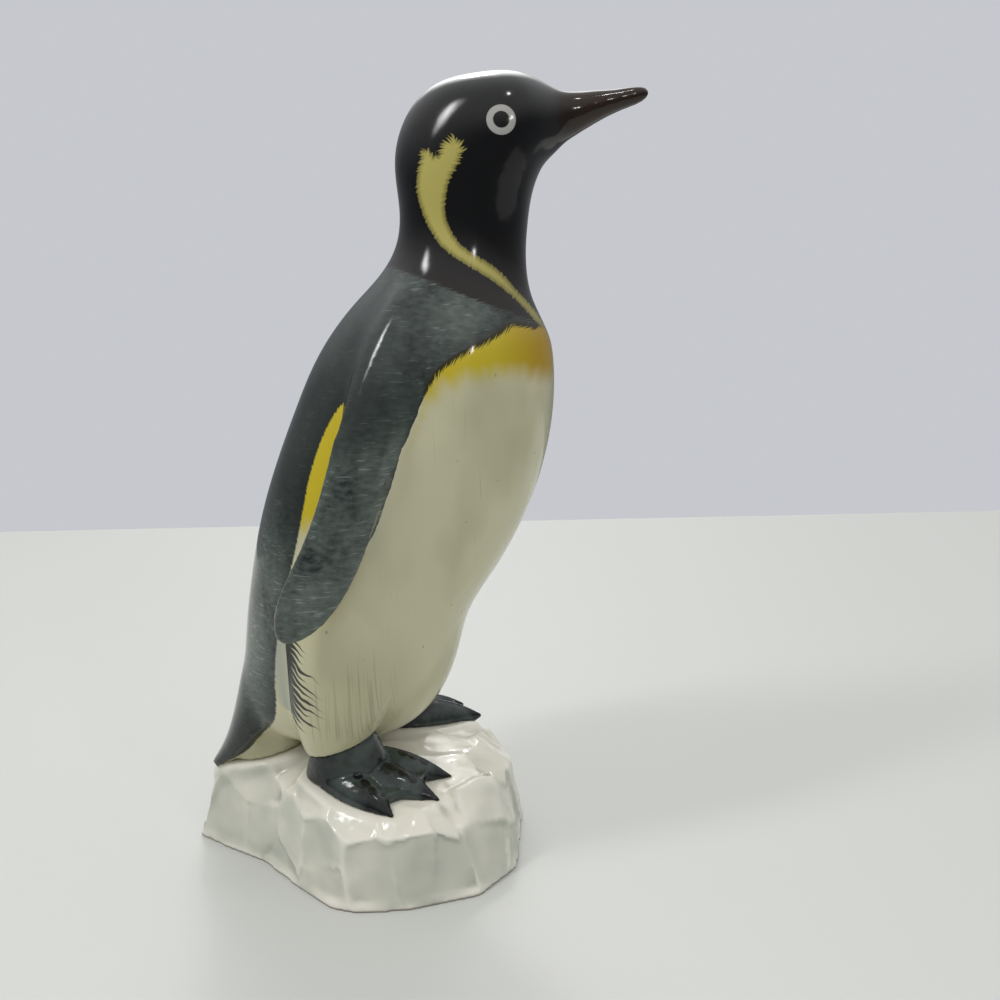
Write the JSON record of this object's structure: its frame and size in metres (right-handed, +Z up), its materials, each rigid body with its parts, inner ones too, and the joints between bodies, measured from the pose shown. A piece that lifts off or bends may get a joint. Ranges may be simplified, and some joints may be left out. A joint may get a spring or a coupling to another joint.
{
  "type": "penguin figurine",
  "caption": "Glazed porcelain king penguin standing on a block of ice, with painted plumage, raised beak and webbed feet; a free-standing ornament for a shelf or table.",
  "frame": {"origin": "middle of the ice's flat underside, on the table", "axes": "+Z up from the table, -Y the way the bird faces, +X towards the bird's left"},
  "size_m": [0.079, 0.1223, 0.1964],
  "materials": {
    "ice_glaze": "white porcelain under a clear, slightly green glaze",
    "plumage_glaze": "cream porcelain with a brushed grey back and a yellow breast under clear glaze",
    "head_glaze": "black underglaze with a pale yellow ear patch under clear glaze",
    "beak_glaze": "dark brown underglaze under clear glaze",
    "flipper_glaze": "brushed grey-green underglaze under clear glaze",
    "foot_glaze": "blue-black underglaze with black spots under clear glaze"
  },
  "bodies": {
    "root": {"ice_base": "ice_glaze", "torso": "plumage_glaze", "head": "head_glaze", "beak": "beak_glaze", "tail": "plumage_glaze", "flipper_right": "flipper_glaze", "flipper_left": "flipper_glaze", "foot_right": "foot_glaze", "foot_left": "foot_glaze"}
  },
  "joints": []
}
